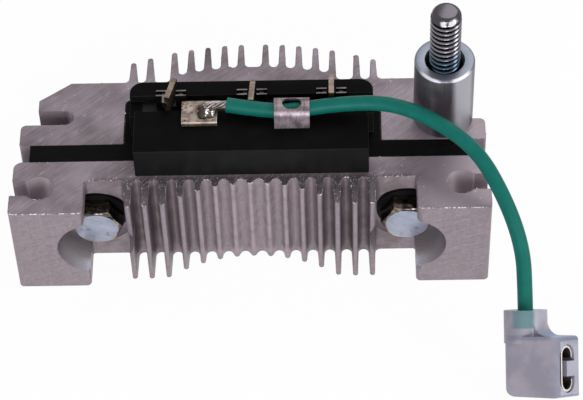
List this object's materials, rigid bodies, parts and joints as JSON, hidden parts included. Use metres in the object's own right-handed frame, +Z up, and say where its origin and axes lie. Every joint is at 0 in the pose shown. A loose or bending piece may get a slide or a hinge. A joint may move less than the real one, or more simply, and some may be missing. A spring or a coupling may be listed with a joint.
{
  "type": "alternator rectifier",
  "caption": "Bolted sandwich of finned aluminium heat sinks with a black diode housing on top, phase blades, an output stud, and a green lead with a flag receptacle.",
  "frame": {"origin": "on the standing surface, below the middle of the two heat sinks, the free lead not counted", "axes": "+X along the length towards the output stud, +Y from the front heat sink to the rear one, +Z up along the stud"},
  "size_m": [0.1149, 0.0829, 0.0563],
  "materials": {
    "aluminium": "extruded aluminium, saw-cut ends with burrs",
    "insulator": "dark phenolic, dull",
    "black_plastic": "moulded black plastic, satin",
    "potting_resin": "cast resin, uneven",
    "zinc_steel": "zinc-plated steel with a fine thread",
    "collar_steel": "turned steel tube, satin",
    "bolt_steel": "zinc-plated steel, bright",
    "tinned_metal": "tinned strip, satin",
    "clip_metal": "tinned strip, satin",
    "terminal_metal": "tinned copper strip, tarnished",
    "copper_strands": "tinned copper strands",
    "solder": "bright solder",
    "lead_insulation": "smooth green insulation, satin",
    "sleeve_nylon": "translucent blue-grey nylon",
    "diode_cell": "moulded diode body with a tinned lead"
  },
  "bodies": {
    "root": {"front_heat_sink": "aluminium", "rear_heat_sink": "aluminium", "insulator_bar": "insulator", "diode_housing": "black_plastic", "potting": "potting_resin", "output_stud": "zinc_steel", "stud_sleeve": "collar_steel", "d_plus_tab": "tinned_metal", "wire_clip": "clip_metal", "bared_strands": "copper_strands", "solder_joint": "solder", "lead_wire": "lead_insulation", "crimped_conductor": "copper_strands", "flag_receptacle": "tinned_metal", "receptacle_sleeve": "sleeve_nylon", "clamp_bolt_left": "bolt_steel", "bolt_bush_left": "insulator", "clamp_bolt_right": "bolt_steel", "bolt_bush_right": "insulator", "ac_terminal_left": "terminal_metal", "negative_diode_left": "diode_cell", "positive_diode_left": "diode_cell", "exciter_diode_left": "diode_cell", "ac_terminal_middle": "terminal_metal", "negative_diode_middle": "diode_cell", "positive_diode_middle": "diode_cell", "exciter_diode_middle": "diode_cell", "ac_terminal_right": "terminal_metal", "negative_diode_right": "diode_cell", "positive_diode_right": "diode_cell", "exciter_diode_right": "diode_cell"}
  },
  "joints": []
}
